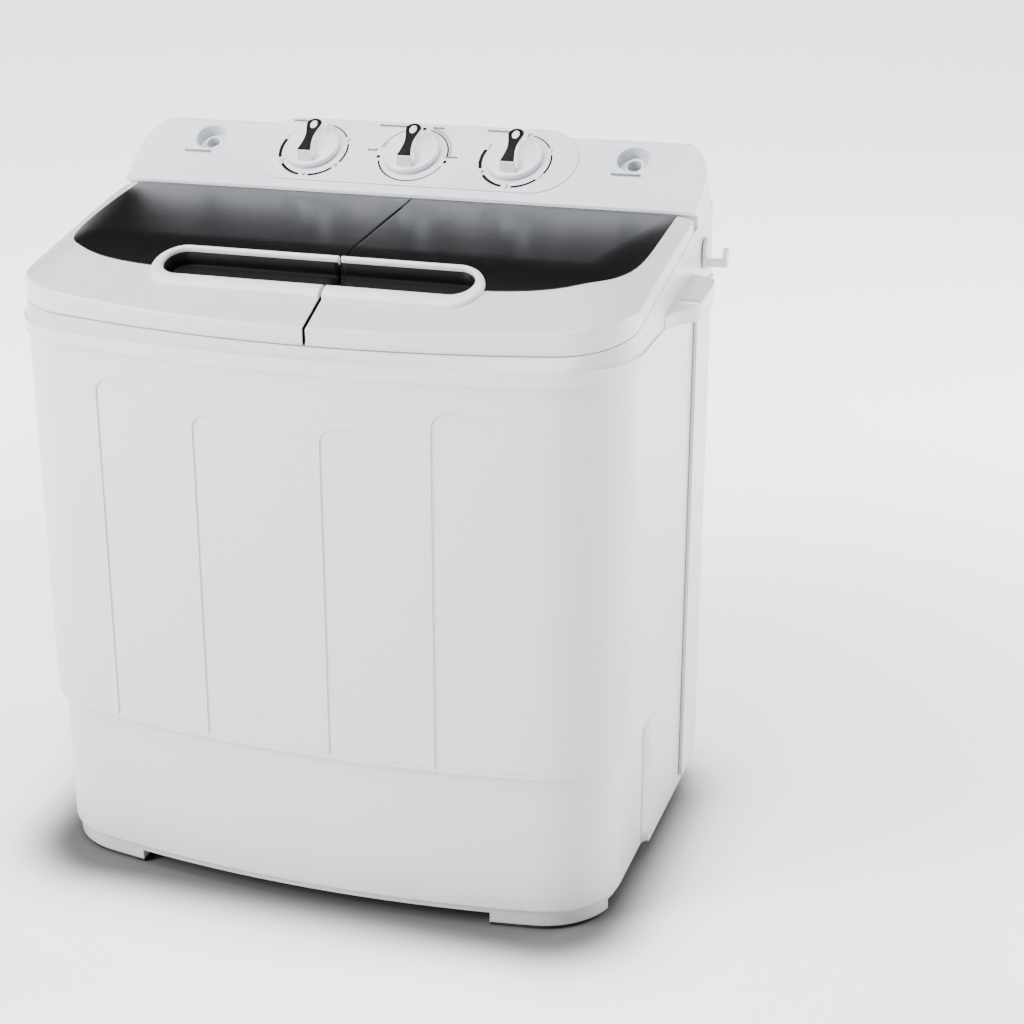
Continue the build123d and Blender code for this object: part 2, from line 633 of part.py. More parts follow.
def agitator_screw():
    head = rod(WASH_X, WASH_Y, WASH_FLOOR_Z + 24, WASH_FLOOR_Z + 29, 6.8)
    slot = span(WASH_X - 8, WASH_X + 8, WASH_Y - 0.8, WASH_Y + 0.8, WASH_FLOOR_Z + 27.5, WASH_FLOOR_Z + 30)
    return head - slot


def agitator_shaft():
    return rod(WASH_X, WASH_Y, PULLEY_Z - 4, WASH_FLOOR_Z + 24, SHAFT_R)


def bearing_housing():
    barrel = rod(WASH_X, WASH_Y, 120, WASH_FLOOR_Z - 4, 19.8)
    flange = rod(WASH_X, WASH_Y, WASH_FLOOR_Z - 10, WASH_FLOOR_Z - WALL - 0.05, 34)
    top = rod(WASH_X, WASH_Y, WASH_FLOOR_Z - 4, WASH_FLOOR_Z - 1, 19.8)
    return barrel + flange + top - rod(WASH_X, WASH_Y, 100, 250, SHAFT_R + RUNNING)


def shaft_seal():
    return tube(WASH_X, WASH_Y, WASH_FLOOR_Z - 1, WASH_FLOOR_Z + 3, 16, SHAFT_R + 0.5)


def pulley(x, y, groove_r, bore):
    flange_r = groove_r + FLANGE_EXTRA
    body = rod(x, y, PULLEY_Z, PULLEY_Z + PULLEY_H, groove_r)
    for z in (PULLEY_Z, PULLEY_Z + PULLEY_H - 1.6):
        body += rod(x, y, z, z + 1.6, flange_r)
    return body - rod(x, y, 0, 200, bore)


def agitator_pulley():
    body = pulley(WASH_X, WASH_Y, BIG_GROOVE_R, SHAFT_R)
    for k in range(6):
        place = Pos(WASH_X, WASH_Y) * Rot(0, 0, 60 * k + 30) * Pos(34, 0)
        body -= place * rod(0, 0, PULLEY_Z - 2, PULLEY_Z + PULLEY_H + 2, 13)
    return body


def drive_belt():
    def loop(extra):
        big = Pos(WASH_X, WASH_Y) * CenterArc((0, 0), BIG_GROOVE_R + extra, 0, 360)
        small = Pos(WASH_MOTOR_X, WASH_MOTOR_Y) * CenterArc((0, 0), SMALL_GROOVE_R + extra, 0, 360)
        return make_face(make_hull(big.edges() + small.edges()).edges())
    z0, z1 = PULLEY_Z + 2.4, PULLEY_Z + PULLEY_H - 2.4
    return prism(loop(5.5), z0, z1) - prism(loop(0.4), z0 - 1, z1 + 1)


def wash_motor():
    body = rod(WASH_MOTOR_X, WASH_MOTOR_Y, 82, 150, MOTOR_R)
    body = fillet(body.edges(), 6)
    for k in range(4):
        turn = Rot(0, 0, 45 + 90 * k)
        body += Pos(WASH_MOTOR_X, WASH_MOTOR_Y) * turn * span(MOTOR_R - 6, MOTOR_R + 9, -6, 6, 136, 141)
    body += rod(WASH_MOTOR_X, WASH_MOTOR_Y, 70, 83, 18)
    return body - rod(WASH_MOTOR_X, WASH_MOTOR_Y, 0, 146, 5 + RUNNING)


def motor_pulley():
    spindle = rod(WASH_MOTOR_X, WASH_MOTOR_Y, PULLEY_Z - 2, 145, 5)
    return pulley(WASH_MOTOR_X, WASH_MOTOR_Y, SMALL_GROOVE_R, 4) + spindle


def motor_bracket():
    wing = (-258, -40, 60, 130)
    plate = span(*wing, 151.5, 154.5) + span(-150, -40, -75, 60, 151.5, 154.5)
    for x, y in ((-250, 68), (-60, 120), (-48, -66)):
        plate += rod(x, y, 154, WASH_FLOOR_Z - WALL - 0.05, 5)
    plate -= rod(WASH_X, WASH_Y, 100, 200, 36) + rod(DRAIN_X, DRAIN_Y, 100, 200, 22)
    for k in range(4):
        turn = Rot(0, 0, 45 + 90 * k)
        stud = Pos(WASH_MOTOR_X, WASH_MOTOR_Y) * turn * rod(MOTOR_R + 4.5, 0, 141.05, 152, 3)
        plate += stud & span(*wing, 100, 200)
    return plate


def overflow_column():
    z1 = 452.0
    column = tube(DRAIN_X, DRAIN_Y, WASH_FLOOR_Z + 0.5, z1, 16, 13.5) + rod(DRAIN_X, DRAIN_Y, z1 - 4, z1, 16)
    column -= rod(DRAIN_X, DRAIN_Y, z1 - 10, z1 + 5, 3)
    column += tube(DRAIN_X, DRAIN_Y, 236, 239, 14, 3.5)
    for z in (196, 270, 300, 330, 360, 390, 420):
        column -= Pos(DRAIN_X, DRAIN_Y, z + 4) * Rot(0, 0, 45) * Box(60, 6, 9)
    return column


def drain_plug():
    plug = Pos(DRAIN_X, DRAIN_Y, WASH_FLOOR_Z + 0.3) * Cone(12.5, 9, 8, align=ON_BASE)
    return plug + rod(DRAIN_X, DRAIN_Y, WASH_FLOOR_Z + 5, 260, 2.5)


def drain_spring():
    return coil(DRAIN_X, DRAIN_Y, WASH_FLOOR_Z + 10.5, 234.5, 6.5, 0.9, 5)


def drain_pipe():
    """Hollow pipe from the wash tub's floor to the outlet at the back."""
    z_run, y_run = OUTLET_Z, 118.0
    path = FilletPolyline((DRAIN_X, DRAIN_Y, WASH_FLOOR_Z - WALL - 0.05), (DRAIN_X, DRAIN_Y, z_run),
                          (DRAIN_X, y_run, z_run), (OUTLET_X, y_run, z_run),
                          (OUTLET_X, OUTLET_ROOT_Y - WALL - 0.5, z_run), radius=16)
    start = Plane(origin=path @ 0, z_dir=path % 0)
    pipe = sweep(start * Circle(11), path=path) - sweep(start * Circle(8.5), path=path)
    return pipe + tube(DRAIN_X, DRAIN_Y, WASH_FLOOR_Z - WALL - 4, WASH_FLOOR_Z - WALL - 0.05, 18, 9)


def drain_outlet():
    nozzle = rod_y(OUTLET_X, OUTLET_ROOT_Y - WALL - 0.4, OUTLET_TIP_Y, OUTLET_Z, OUTLET_R)
    flange = rod_y(OUTLET_X, OUTLET_ROOT_Y + 0.05, OUTLET_ROOT_Y + 2.5, OUTLET_Z, OUTLET_R + 6)
    return nozzle + flange - rod_y(OUTLET_X, 100, 200, OUTLET_Z, 8.5)


def lint_filter():
    """Frame of the lint bag on the tub's back wall, with its mesh as a ribbed panel."""
    x, y1 = WASH_X - 8, WASH_Y + WASH_HALF_Y - 0.5
    frame = span(x - 32, x + 32, y1 - 9, y1, 300, 400) - span(x - 26, x + 26, y1 - 10, y1 - 3, 306, 394)
    for k in range(6):
        z = 316 + 14 * k
        frame += span(x - 27, x + 27, y1 - 8, y1 - 6, z, z + 2)
    return frame


# ---------------------------------------------------------------- spin side

def spin_tub():
    wall = rod(SPIN_X, SPIN_Y, SPIN_FLOOR_Z - WALL, TUB_TOP_Z, SPIN_TUB_R + WALL)
    tub = fillet(wall.edges().sort_by(Axis.Z)[0], 6)
    tub += rod(SPIN_X, SPIN_Y, TUB_TOP_Z - 3, TUB_TOP_Z, SPIN_TUB_R + 10)
    tub -= rod(SPIN_X, SPIN_Y, SPIN_FLOOR_Z, TUB_TOP_Z + 5, SPIN_TUB_R)
    tub -= rod(SPIN_X, SPIN_Y, 150, 250, 20)
    post = rod(PIVOT_X, PIVOT_Y, DRUM_Z + 1, SPIN_FLOOR_Z - 1, 3)
    return tub + post


def spin_bellows():
    seal = tube(SPIN_X, SPIN_Y, 178, SPIN_FLOOR_Z + 6, 19.9, 9)
    for z in (180, 186):
        seal += tube(SPIN_X, SPIN_Y, z, z + 3, 22.5, 9)
    return seal


def spin_shaft():
    return rod(SPIN_X, SPIN_Y, 90, BASKET_Z + 14, SHAFT_R)


def brake_drum():
    drum = rod(SPIN_X, SPIN_Y, DRUM_Z, DRUM_Z + DRUM_H, DRUM_R)
    drum -= tube(SPIN_X, SPIN_Y, DRUM_Z + 4, DRUM_Z + DRUM_H + 1, DRUM_R - 5, 13)
    return drum - rod(SPIN_X, SPIN_Y, 0, 300, SHAFT_R)


def spin_basket():
    """Perforated basket with a rolled rim and a hub for the shaft."""
    z0, z1 = BASKET_Z, BASKET_Z + BASKET_H
    basket = rod(SPIN_X, SPIN_Y, z0, z1, BASKET_R) - rod(SPIN_X, SPIN_Y, z0 + 3, z1 + 1, BASKET_R - 2)
    basket += tube(SPIN_X, SPIN_Y, z1 - 5, z1, BASKET_R + 2.5, BASKET_R - 2)
    basket += rod(SPIN_X, SPIN_Y, z0 - 9, z0 + 16, 15)
    drill = Pos(BASKET_R - 1, 0) * Rot(0, 90, 0) * Cylinder(3.2, 12)
    holes = Part()
    for row in range(6):
        for k in range(10):
            turn = Rot(0, 0, 36 * k + 18 * (row % 2))
            holes += Pos(SPIN_X, SPIN_Y, z0 + 30 + 28 * row) * turn * drill
    return basket - holes - rod(SPIN_X, SPIN_Y, 0, BASKET_Z + 14, SHAFT_R)


def basket_cover():
    """Ring laid on the clothes, with a hole in the middle for the hand."""
    z = BASKET_Z + BASKET_H - 14
    cover = rod(SPIN_X, SPIN_Y, z, z + 3, BASKET_R - 3)
    cover += tube(SPIN_X, SPIN_Y, z, z + 9, BASKET_R - 3, BASKET_R - 5)
    for k in range(8):
        cover -= Pos(SPIN_X, SPIN_Y) * Rot(0, 0, 45 * k) * Pos(56, 0) * rod(0, 0, z - 1, z + 5, 5)
    return cover - rod(SPIN_X, SPIN_Y, z - 1, z + 5, 26)


def spin_motor():
    body = fillet(rod(SPIN_X, SPIN_Y, 58, 142, MOTOR_R).edges(), 6)
    body += tube(SPIN_X, SPIN_Y, 96, 106, MOTOR_R + 3, MOTOR_R - 2)
    body += rod(SPIN_X, SPIN_Y, 52, 60, MOTOR_R - 2)
    return body - rod(SPIN_X, SPIN_Y, 88, 200, SHAFT_R + RUNNING)


def suspension_springs():
    group = Part()
    for k in range(3):
        x, y = SPIN_X + 34 * cos(radians(90 + 120 * k)), SPIN_Y + 34 * sin(radians(90 + 120 * k))
        group += coil(x, y, MOTOR_MOUNT_Z + 1.6, 50.6, 9, 1.4, 4)
    return group


def brake_lever():
    plate = span(PIVOT_X - 3, PIVOT_X + 3, -46, PIVOT_Y + 18, DRUM_Z + 4, DRUM_Z + 12)
    plate += rod(PIVOT_X, PIVOT_Y, DRUM_Z + 4, DRUM_Z + 12, 7)
    return plate - rod(PIVOT_X, PIVOT_Y, 100, 200, 3 + RUNNING)


def brake_shoe():
    block = span(SPIN_X + DRUM_R - 2, PIVOT_X - 3, -38, -10, DRUM_Z + 2, DRUM_Z + 14)
    return block - rod(SPIN_X, SPIN_Y, 100, 200, DRUM_R + BRAKE_GAP)


# ---------------------------------------------------------------- small parts

def lid_switch():
    case = span(SWITCH_X - 14, SWITCH_X + 14, SWITCH_Y - 8, SWITCH_Y + 8, 497, 515)
    case += span(SWITCH_X - 10, SWITCH_X - 7, SWITCH_Y - 3, SWITCH_Y, 488, 498)
    case += span(SWITCH_X + 7, SWITCH_X + 10, SWITCH_Y - 3, SWITCH_Y, 488, 498)
    return case - rod(SWITCH_X, SWITCH_Y, 500, 530, PLUNGER_R + RUNNING)


def switch_plunger():
    stem = rod(SWITCH_X, SWITCH_Y, 501, PLUNGER_TOP_Z, PLUNGER_R)
    return fillet(stem.edges().sort_by(Axis.Z)[-1], 1.2)


NODES = {
    "base_pan": base_pan,
    "foot_pads": foot_pads,
    "front_cabinet": front_cabinet,
    "left_side_panel": lambda: side_panel(-1),
    "right_side_panel": lambda: side_panel(1),
    "rear_cover": rear_cover,
    "cabinet_screws": cabinet_screws,
    "cable_gland": cable_gland,
    "top_frame": top_frame,
    "lid_hinge_pins": lid_hinge_pins,
    "wash_lid": lambda: lid(-1),
    "spin_lid": lambda: lid(1),
    "wash_lid_window": lambda: lid_window(-1),
    "spin_lid_window": lambda: lid_window(1),
    "wash_grip_rim": lambda: grip_rim(-1),
    "spin_grip_rim": lambda: grip_rim(1),
    "wash_grip_insert": lambda: grip_insert(-1),
    "spin_grip_insert": lambda: grip_insert(1),
    "console_housing": console_housing,
    "dial_plate": dial_plate,
    "inlet_cups": inlet_cups,
    "wash_timer_knob": lambda: knob(0),
    "selector_knob": lambda: knob(1),
    "spin_timer_knob": lambda: knob(2),
    "wash_timer_inlay": lambda: knob_inlay(0),
    "selector_inlay": lambda: knob_inlay(1),
    "spin_timer_inlay": lambda: knob_inlay(2),
    "wash_timer": lambda: control_unit(0, 22, 17, 19),
    "selector_switch": lambda: control_unit(1, 16, 14, 16),
    "spin_timer": lambda: control_unit(2, 20, 16, 18),
    "hose_clip": hose_clip,
    "wash_tub": wash_tub,
    "agitator": agitator,
    "agitator_screw": agitator_screw,
    "agitator_shaft": agitator_shaft,
    "bearing_housing": bearing_housing,
    "shaft_seal": shaft_seal,
    "agitator_pulley": agitator_pulley,
    "drive_belt": drive_belt,
    "wash_motor": wash_motor,
    "motor_pulley": motor_pulley,
    "motor_bracket": motor_bracket,
    "overflow_column": overflow_column,
    "drain_plug": drain_plug,
    "drain_spring": drain_spring,
    "drain_pipe": drain_pipe,
    "drain_outlet": drain_outlet,
    "lint_filter": lint_filter,
    "spin_tub": spin_tub,
    "spin_bellows": spin_bellows,
    "spin_shaft": spin_shaft,
    "brake_drum": brake_drum,
    "spin_basket": spin_basket,
    "basket_cover": basket_cover,
    "spin_motor": spin_motor,
    "suspension_springs": suspension_springs,
    "brake_lever": brake_lever,
    "brake_shoe": brake_shoe,
    "lid_switch": lid_switch,
    "switch_plunger": switch_plunger,
}

os.makedirs("parts", exist_ok=True)
for node, make in NODES.items():
    export_step(Pos(0, 0, FLOOR_DROP) * make(), f"parts/{node}.step")
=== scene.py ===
"""Looks of the twin-tub portable washer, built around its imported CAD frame.

Metres in the row frame: +X is the user's right, +Y the back, +Z up. The new pieces are drawn in
millimetres above the drawing datum, and piece() turns them into metres of the frame.
"""
import json
from math import atan2, cos, hypot, pi, radians, sin, sqrt, tan

import bpy
from mathutils import Matrix, Vector


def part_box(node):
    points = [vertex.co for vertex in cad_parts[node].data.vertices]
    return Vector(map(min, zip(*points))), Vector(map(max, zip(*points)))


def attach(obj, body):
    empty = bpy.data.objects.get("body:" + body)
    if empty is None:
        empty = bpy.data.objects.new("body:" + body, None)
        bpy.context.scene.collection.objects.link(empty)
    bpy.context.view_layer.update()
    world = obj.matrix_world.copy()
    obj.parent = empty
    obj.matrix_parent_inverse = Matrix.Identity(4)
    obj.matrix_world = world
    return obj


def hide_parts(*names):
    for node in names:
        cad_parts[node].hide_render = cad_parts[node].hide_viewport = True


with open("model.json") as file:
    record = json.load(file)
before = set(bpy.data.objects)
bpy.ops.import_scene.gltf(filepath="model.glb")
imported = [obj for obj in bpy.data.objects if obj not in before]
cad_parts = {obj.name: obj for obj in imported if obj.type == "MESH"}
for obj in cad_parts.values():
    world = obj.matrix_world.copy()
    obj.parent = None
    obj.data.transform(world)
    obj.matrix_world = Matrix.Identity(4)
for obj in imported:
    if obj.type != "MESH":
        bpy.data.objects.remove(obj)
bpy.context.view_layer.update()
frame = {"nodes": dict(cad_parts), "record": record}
NODES = frame["nodes"]
MM = 0.001
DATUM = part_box("front_cabinet")[0].z / MM - 137.5      # the frame's height above the drawing datum


# ---------------------------------------------------------------- materials

def new_material(name):
    mat = bpy.data.materials.new(name)
    mat.use_nodes = True
    tree = mat.node_tree
    tree.nodes.clear()
    out = tree.nodes.new("ShaderNodeOutputMaterial")
    bsdf = tree.nodes.new("ShaderNodeBsdfPrincipled")
    tree.links.new(bsdf.outputs[0], out.inputs[0])
    return mat, tree, bsdf


def noise(tree, scale, detail=4.0, stretch=(1, 1, 1), distortion=0.0):
    coord = tree.nodes.new("ShaderNodeTexCoord")
    mapping = tree.nodes.new("ShaderNodeMapping")
    mapping.inputs["Scale"].default_value = stretch
    tex = tree.nodes.new("ShaderNodeTexNoise")
    tex.inputs["Scale"].default_value = scale
    tex.inputs["Detail"].default_value = detail
    tex.inputs["Distortion"].default_value = distortion
    tree.links.new(coord.outputs["Object"], mapping.inputs["Vector"])
    tree.links.new(mapping.outputs[0], tex.inputs["Vector"])
    return tex.outputs["Fac"]


def ramp(tree, value, low, high, out_low, out_high):
    node = tree.nodes.new("ShaderNodeMapRange")
    node.interpolation_type = "SMOOTHSTEP"
    for key, number in zip(("From Min", "From Max", "To Min", "To Max"), (low, high, out_low, out_high)):
        node.inputs[key].default_value = number
    tree.links.new(value, node.inputs["Value"])
    return node.outputs["Result"]


def blend(tree, factor, a, b):
    node = tree.nodes.new("ShaderNodeMix")
    node.data_type = "RGBA"
    tree.links.new(factor, node.inputs["Factor"])
    node.inputs["A"].default_value = (*a, 1)
    if isinstance(b, tuple):
        node.inputs["B"].default_value = (*b, 1)
    else:
        tree.links.new(b, node.inputs["B"])
    return node.outputs["Result"]


def rounded_edges(tree, radius):
    """Normal with soft edges, and a mask that is 1 on the rounded edge."""
    bevel = tree.nodes.new("ShaderNodeBevel")
    bevel.samples = 6
    bevel.inputs["Radius"].default_value = radius
    geometry = tree.nodes.new("ShaderNodeNewGeometry")
    dot = tree.nodes.new("ShaderNodeVectorMath")
    dot.operation = "DOT_PRODUCT"
    tree.links.new(bevel.outputs[0], dot.inputs[0])
    tree.links.new(geometry.outputs["Normal"], dot.inputs[1])
    return bevel.outputs[0], ramp(tree, dot.outputs["Value"], 0.80, 0.995, 1.0, 0.0)


def bump(tree, bsdf, heights, normal=None):
    """Stacks (height socket, distance in metres) bumps on the shader's normal."""
    for height, distance in heights:
        node = tree.nodes.new("ShaderNodeBump")
        node.inputs["Strength"].default_value = 1.0
        node.inputs["Distance"].default_value = distance
        tree.links.new(height, node.inputs["Height"])
        if normal is not None:
            tree.links.new(normal, node.inputs["Normal"])
        normal = node.outputs[0]
    tree.links.new(normal, bsdf.inputs["Normal"])


def plastic(name, color, roughness=0.35, grain=900, grain_depth=0.00002, tone=0.03, edge=0.0012,
            coat=0.0, ior=1.46, wear_and_highlight=0.06, specular=0.5, drift=0.15):
    """Moulded plastic: fine grain, slow colour and gloss drift, paler edges: worn, and on the body a painted
    highlight.
    """
    mat, tree, bsdf = new_material(name)
    cloud = noise(tree, 9.0, 3.0)
    dark = tuple(c * (1 - tone) for c in color)
    cloudy = blend(tree, ramp(tree, cloud, 0.35, 0.65, 0, 1), dark, color)
    normal, edges = rounded_edges(tree, edge)
    edge_patchiness = noise(tree, 160.0, 6.0)
    # pale edges: a little rubbing on most plastics, and a painted highlight along every edge where the share
    # is large, as on the body
    rubbed_and_highlit = tree.nodes.new("ShaderNodeMath")
    rubbed_and_highlit.operation = "MULTIPLY"
    tree.links.new(edges, rubbed_and_highlit.inputs[0])
    tree.links.new(ramp(tree, edge_patchiness, 0.35, 0.6, 0.6, 1), rubbed_and_highlit.inputs[1])
    pale = tuple(min(1.0, c + wear_and_highlight * (1.05 - c)) for c in color)
    mix = tree.nodes.new("ShaderNodeMix")
    mix.data_type = "RGBA"
    tree.links.new(rubbed_and_highlit.outputs[0], mix.inputs["Factor"])
    tree.links.new(cloudy, mix.inputs["A"])
    mix.inputs["B"].default_value = (*pale, 1)
    tree.links.new(mix.outputs["Result"], bsdf.inputs["Base Color"])
    low, high = roughness * (1 - drift), roughness * (1 + drift)
    rough = ramp(tree, noise(tree, 45.0, 5.0), 0.3, 0.7, low, high)
    tree.links.new(rough, bsdf.inputs["Roughness"])
    bsdf.inputs["IOR"].default_value = ior
    bsdf.inputs["Specular IOR Level"].default_value = specular
    bsdf.inputs["Coat Weight"].default_value = coat
    bsdf.inputs["Coat Roughness"].default_value = 0.08
    bump(tree, bsdf, [(noise(tree, grain, 2.0), grain_depth)], normal)
    return mat


def metal(name, color, roughness=0.3, stretch=(1, 1, 30), scale=60, edge=0.0006, stain=0.12):
    """Bare metal with drawn or turned marks and light staining."""
    mat, tree, bsdf = new_material(name)
    marks = noise(tree, scale, 6.0, stretch)
    spots = noise(tree, 24.0, 5.0)
    dull = tuple(c * (1 - stain) for c in color)
    tree.links.new(blend(tree, ramp(tree, spots, 0.4, 0.62, 0, 1), dull, color), bsdf.inputs["Base Color"])
    tree.links.new(ramp(tree, marks, 0.3, 0.7, roughness * 0.7, roughness * 1.35), bsdf.inputs["Roughness"])
    bsdf.inputs["Metallic"].default_value = 1.0
    normal, _ = rounded_edges(tree, edge)
    bump(tree, bsdf, [(marks, 0.00001)], normal)
    return mat


def rubber(name, color):
    mat, tree, bsdf = new_material(name)
    dust = noise(tree, 30.0, 6.0)
    grey = tuple(c + 0.05 for c in color)
    tree.links.new(blend(tree, ramp(tree, dust, 0.45, 0.7, 0, 1), color, grey), bsdf.inputs["Base Color"])
    tree.links.new(ramp(tree, dust, 0.3, 0.7, 0.62, 0.85), bsdf.inputs["Roughness"])
    normal, _ = rounded_edges(tree, 0.0008)
    bump(tree, bsdf, [(noise(tree, 700, 3.0), 0.00006)], normal)
    return mat


BODY = (0.62, 0.62, 0.625)
LOOKS = {
    # the body's large share of pale edge is a painted highlight along its creases and rims
    "body_plastic": plastic("body_plastic", BODY, 0.32, coat=0.2, edge=0.0009, tone=0.012, wear_and_highlight=0.5,
                            grain_depth=0.000008),
    "console_plastic": plastic("console_plastic", (0.70, 0.73, 0.77), 0.42, grain=420, grain_depth=0.00007,
                               tone=0.06),
    "knob_plastic": plastic("knob_plastic", (0.72, 0.76, 0.80), 0.20, edge=0.0016, coat=0.5),
    "black_gloss": plastic("black_gloss", (0.006, 0.005, 0.006), 0.24, grain=300, grain_depth=0.0000002,
                           edge=0.0005, wear_and_highlight=0.01, ior=1.5, drift=0.03),
    "black_moulding": plastic("black_moulding", (0.003, 0.003, 0.003), 0.5, wear_and_highlight=0.01, specular=0.12),
    "grey_plastic": plastic("grey_plastic", (0.30, 0.31, 0.33), 0.45, grain_depth=0.00004),
    "tub_plastic": plastic("tub_plastic", (0.72, 0.75, 0.78), 0.28, edge=0.002, coat=0.1),
    "agitator_plastic": plastic("agitator_plastic", (0.32, 0.47, 0.62), 0.30, edge=0.0016),
    "rubber_feet": rubber("rubber_feet", (0.02, 0.02, 0.02)),
    "rubber_seal": rubber("rubber_seal", (0.012, 0.012, 0.012)),
    "steel": metal("steel", (0.56, 0.56, 0.57), 0.26),
    "zinc_screw": metal("zinc_screw", (0.60, 0.60, 0.59), 0.34, scale=200, stretch=(1, 1, 1)),
    "zinc_plate": metal("zinc_plate", (0.55, 0.56, 0.57), 0.36, stretch=(30, 1, 1)),
    "cast_alloy": metal("cast_alloy", (0.50, 0.50, 0.52), 0.45, scale=300, stretch=(1, 1, 1)),
    "motor_paint": plastic("motor_paint", (0.03, 0.033, 0.036), 0.38, grain=500, grain_depth=0.00005,
                           wear_and_highlight=0.2),
}
for part in frame["record"]["subparts"]:
    node = NODES[part["node"]]
    node.data.materials.clear()
    node.data.materials.append(LOOKS[part["material_slot"]])


# ---------------------------------------------------------------- mesh tools

def thicken(obj, thickness):
    """Gives an open surface a thickness in millimetres, behind its faces."""
    shell = obj.modifiers.new("shell", "SOLIDIFY")
    shell.thickness, shell.offset = thickness * MM, -1


def piece(name, verts, faces, body, slot, stands_for=(), solid=0.0, flip=False, crease=38):
    """A new mesh piece from points in millimetres, solid millimetres thick if that is given."""
    mesh = bpy.data.meshes.new(name)
    if flip:
        faces = [tuple(reversed(f)) for f in faces]
    mesh.from_pydata([(x * MM, y * MM, (z + DATUM) * MM) for x, y, z in verts], [], faces)
    mesh.validate()
    mesh.shade_smooth()
    mesh.set_sharp_from_angle(angle=radians(crease))
    mesh.materials.append(LOOKS[slot])
    obj = bpy.data.objects.new(name, mesh)
    bpy.context.scene.collection.objects.link(obj)
    if solid:
        thicken(obj, solid)
    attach(obj, body)
    if stands_for:
        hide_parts(*stands_for)
    return obj


def handed(name, verts, faces, hand, body, slot, stands_for):
    """A piece drawn for the wash side, mirrored for the spin side where hand is -1."""
    moved = [(hand * x, y, z) for x, y, z in verts]
    return piece(name, moved, faces, body, slot, stands_for, flip=hand < 0)


def loft(rings, closed=True, caps=(False, False)):
    """Quads between rings of equally many points."""
    count = len(rings[0])
    verts = [p for ring in rings for p in ring]
    faces = []
    for k in range(len(rings) - 1):
        for i in range(count if closed else count - 1):
            j = (i + 1) % count
            faces.append((k * count + i, k * count + j, (k + 1) * count + j, (k + 1) * count + i))
    if caps[0]:
        faces.append(tuple(reversed(range(count))))
    if caps[1]:
        faces.append(tuple(range(len(verts) - count, len(verts))))
    return verts, faces


def merge(*parts):
    """Several (verts, faces) as one."""
    verts, faces = [], []
    for v, f in parts:
        faces += [tuple(i + len(verts) for i in face) for face in f]
        verts += v
    return verts, faces


def lerp(a, b, t):
    return a + (b - a) * t


def spread(a, b, count):
    return [lerp(a, b, i / (count - 1)) for i in range(count)]


def arc(cx, cy, r, start, end, count):
    return [(cx + r * cos(t), cy + r * sin(t)) for t in spread(start, end, count)]


# ---------------------------------------------------------------- lids

SEAM_TILT = radians(10.3)
SEAM = tan(SEAM_TILT)
LID_FRONT, LID_REAR, LID_HALF, LID_BOW, LID_CORNER = -159.0, 96.5, 268.0, 28.0, 62.0
EDGE_Z, SEAM_Z = 512.0, 497.7
KNEE_Y, FRONT_SLOPE, TOP_SLOPE, SIDE_SLOPE = -68.0, 0.40, 0.066, 0.5
KNEE_WIDTH, SIDE_WIDTH = 9.0, 10.0      # how much height the crown's soft bends take up
GAP_X, GAP = 15.0, 3.0
GRIP_Y, GRIP_TILT = -98.0, radians(21.8)
GRIP_Z = EDGE_Z + FRONT_SLOPE * (GRIP_Y - LID_FRONT)
GRIP_HALF, GRIP_R = 145.0, 27.0
SLOT_HALF, SLOT_R, SLOT_SHIFT, SLOT_DEPTH = 136.0, 17.0, 5.0, 16.0
WINDOW_HALF, WINDOW_FRONT, WINDOW_POWER = 254.0, -100.0, 5.6


def smooth_min(a, b, width):
    t = max(width - abs(a - b), 0) / width
    return min(a, b) - t * t * width / 4


def crown(x, y):
    """Height of the lids' top: sloped front, nearly flat rear, sloped side margins."""
    knee_z = EDGE_Z + FRONT_SLOPE * (KNEE_Y - LID_FRONT)
    top = smooth_min(EDGE_Z + FRONT_SLOPE * (y - LID_FRONT), knee_z + TOP_SLOPE * (y - KNEE_Y), KNEE_WIDTH)
    side = EDGE_Z + SEAM * (y - LID_FRONT) + SIDE_SLOPE * (LID_HALF - abs(x)) / cos(SEAM_TILT)
    return smooth_min(top, side, SIDE_WIDTH)


def in_slot(x, y, z, grow):
    """True inside the finger slot's outline, grown by so much."""
    v = (y - GRIP_Y) * cos(GRIP_TILT) + (z - GRIP_Z) * sin(GRIP_TILT) - SLOT_SHIFT
    over = max(abs(x) - (SLOT_HALF - SLOT_R), 0)
    return hypot(over, v) < SLOT_R + grow


def front_edge(gap_x):
    """The lid's plan edge in local X: the corner, then the bowed front up to the gap, with normals."""
    bow_r = (LID_HALF**2 + LID_BOW**2) / (2 * LID_BOW)
    bow_y = LID_FRONT + bow_r
    reach = bow_r - LID_CORNER
    side_x = LID_HALF - LID_CORNER
    corner_y = bow_y - sqrt(reach**2 - side_x**2)
    meet = atan2(corner_y - bow_y, -side_x)
    corner = arc(-side_x, corner_y, LID_CORNER, pi, 2 * pi + meet, 22)
    end = atan2(-sqrt(bow_r**2 - gap_x**2), gap_x)
    front = arc(0, bow_y, bow_r, meet, end, 46)[1:]
    normals = [(cos(t), sin(t)) for t in spread(pi, 2 * pi + meet, 22)]
    normals += [(cos(t), sin(t)) for t in spread(meet, end, 46)[1:]]
    return corner + front, normals


